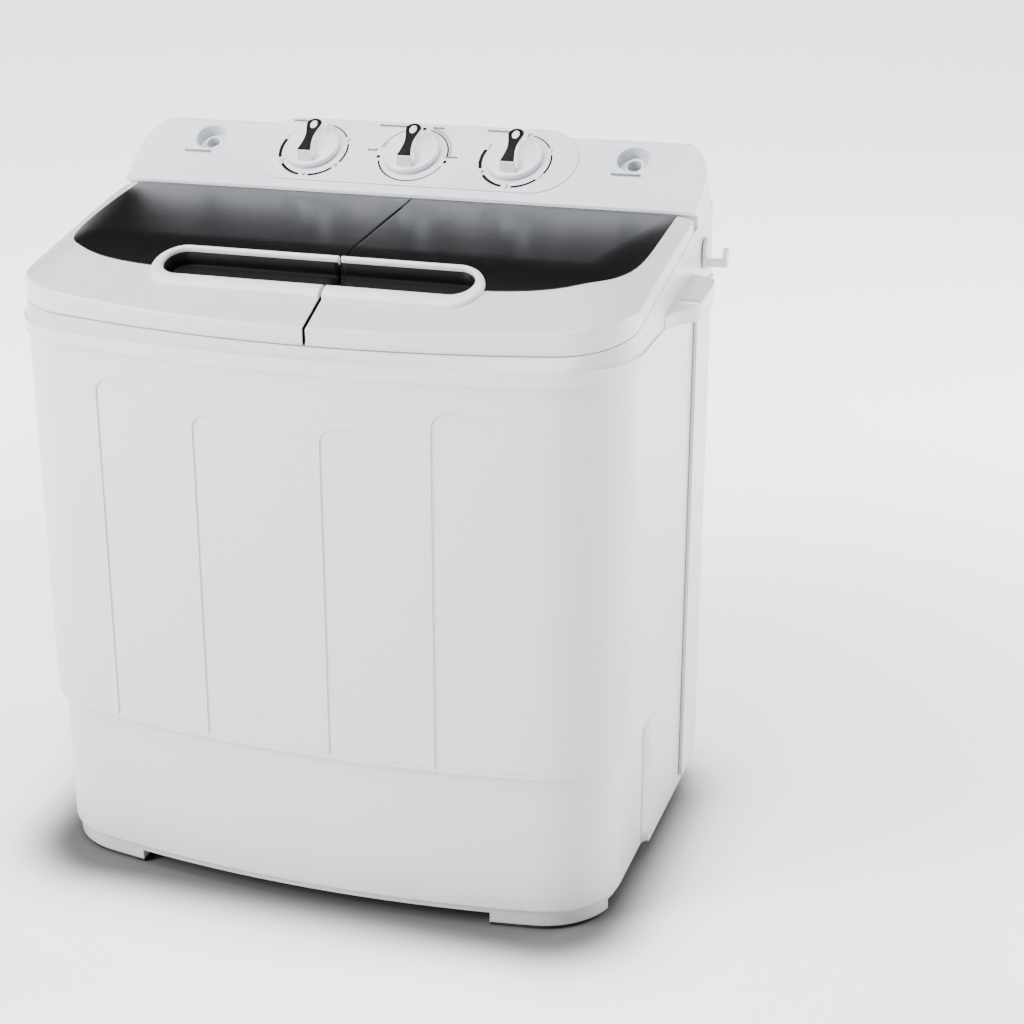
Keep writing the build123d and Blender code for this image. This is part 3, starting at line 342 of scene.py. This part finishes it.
def patch(edge, normals, rear_y, rows, insets, gap_x):
    """Rings of (x, y) round a lid's plan, one for each inset, and the grid inside them.

    The plan has its outer side and front along edge, its gap side at gap_x and its rear at rear_y.
    """
    side = [(edge[0][0], y) for y in spread(rear_y, edge[0][1], rows)][:-1]
    gap = [(gap_x, y) for y in spread(edge[-1][1], rear_y, rows)][1:]
    rear = [(x, rear_y) for x in spread(gap_x, edge[0][0], len(edge))][1:-1]
    ring = side + list(edge) + gap + rear
    inward = [(1, -1)] + [(1, 0)] * (len(side) - 1) + [(-nx, -ny) for nx, ny in normals[:-1]]
    inward += [(-1, 1)] + [(-1, 0)] * (len(gap) - 1) + [(-1, -1)] + [(0, -1)] * len(rear)
    rings = [[(x + dx * d, y + dy * d) for (x, y), (dx, dy) in zip(ring, inward)] for d in insets]
    inner, cols = rings[-1], len(edge)
    gap_rear = 2 * rows + cols - 3
    front_row = inner[rows - 1:rows - 1 + cols]
    rear_row = [inner[0]] + inner[:gap_rear:-1] + [inner[gap_rear]]
    grid = []
    for j in range(rows):
        row = [(lerp(f[0], r[0], j / (rows - 1)), lerp(f[1], r[1], j / (rows - 1)))
               for f, r in zip(front_row, rear_row)]
        row[0], row[-1] = inner[rows - 1 - j], inner[rows - 2 + cols + j]
        grid.append(row)
    return rings, grid


def round_drop(d, r):
    return 0.0 if d >= r else r - sqrt(r * r - (r - d) ** 2)


def top_surface(rings, grid, insets, radii, lift, bottom):
    """Crowned top with rounded edges, and upright sides down to bottom(x, y, z of the top)."""
    edge_rows = [[(x, y, crown(x, y) + lift - round_drop(d, r)) for (x, y), r in zip(ring, radii)]
                 for ring, d in zip(rings, insets)]
    levels = (0, 0.08, 0.5, 0.94)
    sides = [[(x, y, lerp(bottom(x, y, z), z, t)) for x, y, z in edge_rows[0]] for t in levels]
    flat = [[(x, y, crown(x, y) + lift) for x, y in row] for row in grid]
    return merge(loft(sides + edge_rows), loft(flat, closed=False))


def cut_slot(verts, faces, grow):
    """Drops the faces over the finger slot."""
    kept = []
    for face in faces:
        mid = [sum(verts[i][k] for i in face) / len(face) for k in range(3)]
        if not in_slot(*mid, grow):
            kept.append(face)
    return verts, kept


def weld(obj):
    modifier = obj.modifiers.new("weld", "WELD")
    modifier.merge_threshold = 0.00002
    return obj


LID_INSETS = [0, 0.15, 0.45, 0.9, 1.4, 2.0, 3.2]
WINDOW_INSETS = [0, 0.1, 0.25, 0.5, 1.2]
LID_ROWS, WINDOW_ROWS = 70, 60
EDGE_R, GAP_R = 2.0, 0.9
HINGE_Y, HINGE_Z, SWEEP_R, EAR_R = 90.0, 551.5, 8.9, 3.2
FRAME_EARS = (-238.0, -12.0, 32.0, 238.0)
LID_EARS = {-1: (42.5, 227.5), 1: (-227.5, -22.5)}
SWITCH_POST = (224.0, 56.0)             # under the spin lid, above the switch's plunger
NOTCH_HALF, LID_WALL, EAR_TOP = 7.0, 2.4, 4.6
LID_GROW, WINDOW_GROW = 3.0, 4.0        # how far the slot's hole in lid and window goes past its outline


def lid_bottom(x, y, top):
    """Lower edge of a lid's side: the seam, and clear of the hinge's sweep behind it."""
    seam = SEAM_Z + SEAM * (y - LID_FRONT)
    behind = y - HINGE_Y
    return seam if behind < 0 else max(seam, HINGE_Z - sqrt(SWEEP_R**2 - behind**2))


def over_frame_ear(x, y, z):
    """True on a lid's rear skirt where one of the frame's hinge ears stands."""
    low = y > LID_REAR - 0.1 and z < HINGE_Z + 4
    return low and any(abs(x - ear) < NOTCH_HALF for ear in FRAME_EARS)


def painted_gap_shade(name, hand, gap_x, front_y):
    """Black face on the lid's wall in the gap between the two lids, in front of the window: painted shade
    for the narrow gap.
    """
    wall = [y for y in spread(front_y + 1.2, WINDOW_FRONT, 40)
            if not in_slot(gap_x, y, crown(gap_x, y), LID_GROW)]
    x = hand * (gap_x + 0.2)
    liner = [[(x, y, crown(gap_x, y) - 0.9) for y in wall],
             [(x, y, lid_bottom(gap_x, y, 0) + 0.4) for y in wall]]
    piece(name + "_painted_gap_shade", *loft(liner, closed=False), name, "black_moulding")


def hinge_ears(name, places):
    ears = []
    low = arc(HINGE_Y, HINGE_Z, EAR_R, pi, 2 * pi, 14)
    outline = low + [(HINGE_Y + EAR_R, HINGE_Z + EAR_TOP), (HINGE_Y - EAR_R, HINGE_Z + EAR_TOP)]
    for x in places:
        sections = [[(x + dx, y, z) for y, z in outline] for dx in (-4, -3.6, 3.6, 4)]
        ears.append(loft(sections, caps=(True, True)))
    piece(name + "_ears", *merge(*ears), name, "body_plastic")


def build_lid(name, hand, gap_x, stands_for):
    edge, normals = front_edge(gap_x)
    rings, grid = patch(edge, normals, LID_REAR, LID_ROWS, LID_INSETS, gap_x)
    outer = LID_ROWS + len(edge) - 2
    radii = [EDGE_R] * outer + [GAP_R] * (len(rings[0]) - outer)
    verts, faces = cut_slot(*top_surface(rings, grid, LID_INSETS, radii, 0.0, lid_bottom), LID_GROW)
    kept = []
    for face in faces:
        x, y, z = (sum(verts[i][k] for i in face) / len(face) for k in range(3))
        if not over_frame_ear(hand * x, y, z):
            kept.append(face)
    thicken(weld(handed(name + "_shell", verts, kept, hand, name, "body_plastic", stands_for)), LID_WALL)
    painted_gap_shade(name, hand, gap_x, edge[-1][1])
    hinge_ears(name, LID_EARS[hand])
    if hand < 0:
        post = [[(x, y, z) for x, y in arc(*SWITCH_POST, r, 0, 2 * pi, 33)[:-1]]
                for r, z in ((3.6, 531.3), (4.0, 531.8), (4.0, 553.5))]
        piece(name + "_switch_post", *loft(post, caps=(True, True)), name, "body_plastic")


def window_edge(depth, gap_x):
    """Superellipse side and front of a window, up to the gap, with outward normals."""
    power, points = 2 / WINDOW_POWER, []
    for turn in spread(0, pi / 2, 90):
        x, y = -WINDOW_HALF * abs(cos(turn)) ** power, WINDOW_REAR - depth * sin(turn) ** power
        if x < gap_x - 6:
            points.append((x, y))
    points.append((gap_x, WINDOW_REAR - depth))
    normals = []
    for i in range(len(points)):
        (x0, y0), (x1, y1) = points[max(i - 1, 0)], points[min(i + 1, len(points) - 1)]
        length = hypot(x1 - x0, y1 - y0)
        normals.append(((y1 - y0) / length, (x0 - x1) / length))
    return points, normals


WINDOW_REAR, WINDOW_LIFT, WINDOW_MARGIN = 96.0, 0.45, -0.25
WINDOW_SKIRT, GAP_SKIRT = 1.6, 11.0     # the window's edge, and its deeper black face down the lids' gap, which is painted shade there


def build_window(name, body, hand, gap_x, stands_for):
    edge, normals = window_edge(WINDOW_REAR - WINDOW_FRONT, gap_x - WINDOW_MARGIN)
    rings, grid = patch(edge, normals, WINDOW_REAR, WINDOW_ROWS, WINDOW_INSETS, gap_x - WINDOW_MARGIN)
    gap_side = gap_x - WINDOW_MARGIN - 0.01

    # the window's own black edge, and deeper down the lids' gap a black face that is painted shade
    def skirt(x, y, top):
        return top - (GAP_SKIRT if x > gap_side and y < HINGE_Y - 12 else WINDOW_SKIRT)

    surface = top_surface(rings, grid, WINDOW_INSETS, [0.4] * len(rings[0]), WINDOW_LIFT, skirt)
    verts, faces = cut_slot(*surface, WINDOW_GROW)
    weld(handed(name, verts, faces, hand, body, "black_gloss", stands_for))


# ---------------------------------------------------------------- grip across the lids

def pill_half(half, r, shift, gap_x):
    """From the gap round the left end and back to the gap, in the grip's plane."""
    reach = half - r
    top = [(x, r + shift) for x in spread(gap_x, -reach, 30)][:-1]
    bottom = [(x, shift - r) for x in spread(-reach, gap_x, 30)][1:]
    return top + arc(-reach, shift, r, pi / 2, 1.5 * pi, 32) + bottom


def on_slope(tilt, y0, z0, u, v, n):
    """A point u across, v up and n out of a plane that leans back by tilt."""
    return (u, y0 + v * cos(tilt) - n * sin(tilt), z0 + v * sin(tilt) + n * cos(tilt))


def on_grip(u, v, n):
    return on_slope(GRIP_TILT, GRIP_Y, GRIP_Z, u, v, n)


# the rim's section: share of the way from its outer to its inner edge, and height
RIM_PROFILE = [(0, -1.5), (0, 1.6), (0.05, 2.8), (0.16, 4.0), (0.34, 4.8), (0.55, 5.0), (0.74, 4.8),
               (0.9, 4.1), (0.97, 3.2), (1, 1.8), (1, -2.5)]


def build_grip(lid, hand, gap_x, rim_node, insert_node):
    outer = pill_half(GRIP_HALF, GRIP_R, 0, gap_x)
    inner = pill_half(SLOT_HALF, SLOT_R, SLOT_SHIFT, gap_x)
    rows = [[on_grip(lerp(a[0], b[0], share), lerp(a[1], b[1], share), height)
             for a, b in zip(outer, inner)] for share, height in RIM_PROFILE]
    verts, faces = loft(rows, closed=False)
    count = len(outer)
    faces.append(tuple(k * count for k in range(len(rows))))
    faces.append(tuple(reversed([k * count + count - 1 for k in range(len(rows))])))
    faces = [tuple(reversed(f)) for f in faces]
    handed(rim_node + "_shell", verts, faces, hand, lid, "console_plastic", (rim_node,))

    def slot_ring(inset, n):
        return [on_grip(*p, n) for p in pill_half(SLOT_HALF - inset, SLOT_R - inset, SLOT_SHIFT, gap_x)]

    walls = [slot_ring(0.0, 0.5), slot_ring(0.0, -SLOT_DEPTH + 6), slot_ring(1.2, -SLOT_DEPTH + 3.4),
             slot_ring(4.0, -SLOT_DEPTH + 2)]
    verts, faces = loft(walls, closed=False)
    last = len(verts) - count
    faces.append(tuple(range(last, len(verts))))
    faces = [tuple(reversed(f)) for f in faces]
    thicken(handed(insert_node + "_shell", verts, faces, hand, lid, "black_moulding", (insert_node,)), 1.0)


for lid, hand, gap_x in (("wash", 1, GAP_X - GAP / 2), ("spin", -1, -GAP_X - GAP / 2)):
    build_lid(f"{lid}_lid", hand, gap_x, (f"{lid}_lid",))
    build_window(f"{lid}_window", f"{lid}_lid", hand, gap_x, (f"{lid}_lid_window",))
    build_grip(f"{lid}_lid", hand, gap_x, f"{lid}_grip_rim", f"{lid}_grip_insert")


# ---------------------------------------------------------------- knobs and dials

PANEL_TILT = radians(34.0)
PANEL_Y, PANEL_Z = 100.0, 562.5
KNOB_V, KNOB_PITCH, KNOB_BASE, KNOB_R, DISC_H, GRIP_H = 48.0, 96.2, 1.6, 25.6, 5.0, 9.5
PLATE_TOP, FOOT_FLARE = 1.0, 15


def on_panel(x, v, n):
    return on_slope(PANEL_TILT, PANEL_Y, PANEL_Z, x, v, n)


def catmull(points, steps):
    """A smooth line through the points."""
    ends = [points[0]] + list(points) + [points[-1]]
    line = []
    for a, b, c, d in zip(ends, ends[1:], ends[2:], ends[3:]):
        for k in range(steps):
            t = k / steps
            line.append(tuple(0.5 * (2 * q + (r - p) * t + (2 * p - 5 * q + 4 * r - s) * t * t
                                     + (3 * q - p - 3 * r + s) * t**3) for p, q, r, s in zip(a, b, c, d)))
    return line + [tuple(points[-1])]


def grip_outline(inset, tail=-17.5):
    """Top view of the grip: square tail, waist and round pointer end, anticlockwise."""
    w, low = 1 - inset * 0.14, tail + inset
    flank = catmull([(6.8 * w, low), (4.6 * w, -6), (4.4 * w, 3), (7.3 * w, 15)], 6)
    head = arc(0, 15.4, 7.8 - inset, 0.0, pi, 17)[1:-1]
    end = [(x, low) for x in spread(-6.8 * w, 6.8 * w, 7)][1:-1]
    return flank + head + [(-x, y) for x, y in reversed(flank)] + end


def flare(point, amount):
    """Widens the grip's foot, most to the right and at its middle, but stays inside the disc."""
    x, y = point
    reach = max(0.0, 1 - (y / 22) ** 2)
    wide = x + amount * reach if x > 1 else x - 0.2 * amount * reach if x < -1 else x
    limit = KNOB_R - 2.2
    size = hypot(wide, y)
    return (wide, y) if size < limit else (wide * limit / size, y * limit / size)


def build_knob(index, body, knob_node, inlay_node):
    x0 = (index - 1) * KNOB_PITCH

    def ring(points, n):
        return [on_panel(x0 + u, KNOB_V + v, KNOB_BASE + n) for u, v in points]

    def circle(r):
        return arc(0, 0, r, 0, 2 * pi, 97)[:-1]

    edge = ((20, 0), (KNOB_R - 0.4, 0), (KNOB_R, 0.5), (KNOB_R, 3.2), (KNOB_R - 0.5, 4.3),
            (KNOB_R - 1.5, 4.9), (KNOB_R - 2.6, DISC_H), (18, DISC_H + 0.2), (6, DISC_H + 0.2))
    disc = [ring(circle(r), n) for r, n in edge]
    top = DISC_H + GRIP_H
    rows = []
    for k in range(11):
        t = k / 10
        foot = grip_outline(0, lerp(-21.5, -17.8, t))
        foot = [flare(p, FOOT_FLARE * (1 - t) ** 2.0) for p in foot]
        rows.append(ring(foot, DISC_H + 0.15 + (GRIP_H - 0.9) * t))
    rows += [ring(grip_outline(0.15), top - 0.3), ring(grip_outline(0.4), top), ring(grip_outline(1.2), top)]
    cap = merge(loft(disc, caps=(True, True)), loft(rows, caps=(False, True)))
    piece(knob_node + "_cap", *cap, body, "knob_plastic", (knob_node,), crease=50)
    inlay = [ring(grip_outline(0.45), top - 0.1), ring(grip_outline(0.45), top + 0.2),
             ring(grip_outline(0.7), top + 0.35)]
    piece(inlay_node + "_face", *loft(inlay, caps=(False, True)), body, "black_moulding", (inlay_node,))
    eye = [ring([(p[0] * 0.78, p[1] * 1.15 + 15.2) for p in circle(r)], top + n)
           for r, n in ((4.2, 0.2), (4.2, 0.4), (3.8, 0.55), (2.0, 0.6))]
    piece(knob_node + "_eye", *loft(eye, caps=(False, True)), body, "knob_plastic")


for index, (body, stem) in enumerate((("wash_timer_dial", "wash_timer"), ("selector_dial", "selector"),
                                      ("spin_timer_dial", "spin_timer"))):
    build_knob(index, body, f"{stem}_knob", f"{stem}_inlay")

INK = plastic("ink", (0.004, 0.004, 0.004), 0.5, grain_depth=0.000001, edge=0.00004, wear_and_highlight=0.0, specular=0.1)
PRINT_N = PLATE_TOP + 0.06
RING_R, RING_DX, RING_DV, DIGIT_SIZE = 32.0, 1.5, -1.0, 6.5


def printed_arc(x0, start, end, width_a, width_b, radius=RING_R):
    """A printed band whose width changes on the way, with angles in degrees clockwise from the top."""
    inner, outer = [], []
    for t in spread(0, 1, 40):
        angle = radians(90 - lerp(start, end, t))
        half = lerp(width_a, width_b, t) / 2
        for line, r in ((inner, radius - half), (outer, radius + half)):
            line.append(on_panel(x0 + RING_DX + r * cos(angle), KNOB_V + RING_DV + r * sin(angle), PRINT_N))
    return loft([inner, outer], closed=False)


def printed_text(text, x, v, size):
    curve = bpy.data.curves.new("digit", "FONT")
    curve.body, curve.size, curve.align_x, curve.align_y = text, size, "CENTER", "CENTER"
    curve.shear, curve.resolution_u = 0.25, 3
    holder = bpy.data.objects.new("digit", curve)
    mesh = bpy.data.meshes.new_from_object(holder)
    verts = [on_panel(x + p.co.x, v + p.co.y, PRINT_N) for p in mesh.vertices]
    faces = [tuple(f.vertices) for f in mesh.polygons]
    bpy.data.objects.remove(holder)
    return verts, faces


def timer_print(x0, labels, start, step):
    """Numbers round a timer, with bands between them that widen clockwise."""
    parts = []
    for k, label in enumerate(labels):
        angle = start + step * k
        turn = radians(90 - angle)
        place = (x0 + RING_DX + RING_R * cos(turn), KNOB_V + RING_DV + RING_R * sin(turn))
        parts.append(printed_text(label, *place, DIGIT_SIZE))
        if k:
            width = lerp(1.0, 3.0, (k - 1) / (len(labels) - 2))
            parts.append(printed_arc(x0, angle - step + 8, angle - 8, width, width + 0.4))
    return parts


def selector_print():
    parts = [printed_arc(0, -78, -8, 0.7, 0.7, RING_R + 1), printed_arc(0, -78, -8, 0.7, 0.7, RING_R - 1)]
    parts += [printed_arc(0, 14, 92, 1.0, 1.6), printed_arc(0, 112, 252, 0.8, 1.6)]
    for k in range(22):
        angle = 20 + 3.2 * k
        parts.append(printed_arc(0, angle, angle + 1.1, 2.2, 2.2, RING_R + 2.6))
    for angle in (-98, 3, 102):
        parts.append(printed_arc(0, angle - 3, angle + 3, 3.0, 3.0, RING_R + 0.5))
    return parts


STROKE_PITCH = 1.9


def word_mark(x, v, width):
    """A short row of slanted strokes where a word would be."""
    parts = []
    for k in range(int(width / STROKE_PITCH)):
        left = x - width / 2 + STROKE_PITCH * k
        tall = 3.0 if k % 4 == 0 else 2.3
        corners = ((0, 0), (1.2, 0), (1.7, tall), (0.5, tall))
        stroke = [on_panel(left + du, v + dv, PRINT_N) for du, dv in corners]
        parts.append((stroke, [(0, 1, 2, 3)]))
    return parts


TIMER_START, TIMER_STEP = 8, 58         # degrees clockwise from the top, and between two numbers
# x, height up the console and width of each mark: over the dials, beside the selector, under the inlets
WORDS = ((-KNOB_PITCH - 18, 81, 22), (-26, 80, 28), (17, 80, 12), (-38, 49, 11), (39, 45, 13),
         (KNOB_PITCH - 22, 80, 22), (-208, 36, 27), (200, 36, 27))
prints = timer_print(-KNOB_PITCH, ["1", "3", "6", "9", "12", "15"], TIMER_START, TIMER_STEP)
prints += timer_print(KNOB_PITCH, ["0", "1", "2", "3", "4", "5"], TIMER_START, TIMER_STEP)
prints += selector_print()
for place in WORDS:
    prints += word_mark(*place)
piece("dial_print", *merge(*prints), "cabinet", "black_moulding").data.materials[0] = INK


# ---------------------------------------------------------------- beads beside the base

BEAD = ((261.0, -9.0), (262.6, -5.0), (264.8, 0.0), (266.0, 3.1))   # from the base's wall to the side panel
for side, label in ((-1, "left"), (1, "right")):
    bead = [[(side * x, y, z) for x, y in BEAD] for z in spread(11.0, 137.0, 12)]
    piece(f"{label}_side_bead", *loft(bead, closed=False), "cabinet", "body_plastic", solid=0.8,
          flip=side < 0)


# ---------------------------------------------------------------- stage, lights, camera

def vector_math(tree, operation, a, b=None):
    node = tree.nodes.new("ShaderNodeVectorMath")
    node.operation = operation
    tree.links.new(a, node.inputs[0])
    if b is not None:
        node.inputs[1].default_value = b
    return node.outputs["Value" if operation == "LENGTH" else "Vector"]


SHADE_CORE = (0.20, 0.11, 0)            # half sizes of the block that the floor's painted shadow is measured from


def floor_material():
    """Pale floor that glows more away from the machine, with a painted shadow round its foot: dark colour
    and no glow there.
    """
    mat, tree, bsdf = new_material("studio_floor")
    coord = tree.nodes.new("ShaderNodeTexCoord")
    folded = vector_math(tree, "ABSOLUTE", coord.outputs["Object"])
    away = vector_math(tree, "SUBTRACT", folded, SHADE_CORE)
    reach = vector_math(tree, "LENGTH", vector_math(tree, "MAXIMUM", away, (0, 0, 0)))
    grain = ramp(tree, noise(tree, 1.5, 3.0), 0.3, 0.7, 0.0, 1.0)
    pale = blend(tree, grain, (0.93, 0.93, 0.93), (0.95, 0.95, 0.95))
    # painted shadow: the floor's colour falls to 0.12 close round the machine
    tree.links.new(blend(tree, ramp(tree, reach, 0.05, 0.12, 0, 1), (0.12, 0.12, 0.12), pale),
                   bsdf.inputs["Base Color"])
    bsdf.inputs["Roughness"].default_value = 0.9
    bsdf.inputs["Specular IOR Level"].default_value = 0.0
    bsdf.inputs["Emission Color"].default_value = (1, 1, 1, 1)
    glow = tree.nodes.new("ShaderNodeMath")
    glow.operation = "ADD"
    # no glow close round the machine, which keeps the painted shadow dark
    tree.links.new(ramp(tree, reach, 0.06, 0.17, 0.0, 1.0), glow.inputs[0])
    tree.links.new(ramp(tree, reach, 0.3, 1.3, 0.0, 1.6), glow.inputs[1])
    tree.links.new(glow.outputs[0], bsdf.inputs["Emission Strength"])
    return mat


FLOOR_HALF = 40.0
floor_mesh = bpy.data.meshes.new("floor")
floor_mesh.from_pydata([(x, y, 0) for x, y in ((-1, -1), (1, -1), (1, 1), (-1, 1))], [], [(0, 1, 2, 3)])
floor_mesh.transform(Matrix.Scale(FLOOR_HALF, 4))
floor_mesh.materials.append(floor_material())
floor = bpy.data.objects.new("floor", floor_mesh)
bpy.context.scene.collection.objects.link(floor)


def area_light(name, place, target, width, height, power):
    data = bpy.data.lights.new(name, "AREA")
    data.shape, data.size, data.size_y, data.energy = "RECTANGLE", width, height, power
    lamp = bpy.data.objects.new(name, data)
    lamp.location = place
    lamp.rotation_mode = "QUATERNION"
    lamp.rotation_quaternion = (Vector(target) - Vector(place)).to_track_quat("-Z", "Y")
    bpy.context.scene.collection.objects.link(lamp)


area_light("key", (-2.0, -2.0, 1.8), (0, 0, 0.35), 1.2, 1.8, 165)
area_light("side", (2.2, 1.5, 1.2), (0, 0, 0.3), 1.2, 1.8, 110)
area_light("top", (0.0, -0.5, 2.6), (0, 0, 0.3), 2.2, 1.6, 100)


def studio_world():
    """Pale round the horizon, dark overhead, so that gloss keeps its depth."""
    world = bpy.data.worlds.new("studio")
    world.use_nodes = True
    tree = world.node_tree
    tree.nodes.clear()
    out = tree.nodes.new("ShaderNodeOutputWorld")
    background = tree.nodes.new("ShaderNodeBackground")
    coord = tree.nodes.new("ShaderNodeTexCoord")
    split = tree.nodes.new("ShaderNodeSeparateXYZ")
    tree.links.new(coord.outputs["Generated"], split.inputs[0])
    level = ramp(tree, split.outputs["Z"], 0.04, 0.22, 0.0, 1.0)
    sky = blend(tree, level, (0.95, 0.95, 0.96), (0.012, 0.012, 0.013))
    tree.links.new(sky, background.inputs["Color"])
    background.inputs["Strength"].default_value = 1.0
    tree.links.new(background.outputs[0], out.inputs[0])
    bpy.context.scene.world = world


studio_world()

CAMERA_PLACE = (0.6508, -1.6484, 0.9817 + DATUM * MM)
YAW, PITCH, ROLL = radians(21.13), radians(-21.34), radians(-1.3)
forward = Vector((-sin(YAW) * cos(PITCH), cos(YAW) * cos(PITCH), sin(PITCH)))
right = Vector((cos(YAW), sin(YAW), 0))
up = right.cross(forward)
right, up = right * cos(ROLL) + up * sin(ROLL), up * cos(ROLL) - right * sin(ROLL)
camera_data = bpy.data.cameras.new("camera")
camera_data.lens, camera_data.sensor_width = 74.85, 36.0
camera_data.shift_x, camera_data.shift_y = 0.1302, 0.0067
camera = bpy.data.objects.new("camera", camera_data)
camera.matrix_world = Matrix.Translation(CAMERA_PLACE) @ Matrix((right, up, -forward)).transposed().to_4x4()
bpy.context.scene.collection.objects.link(camera)
bpy.context.scene.camera = camera
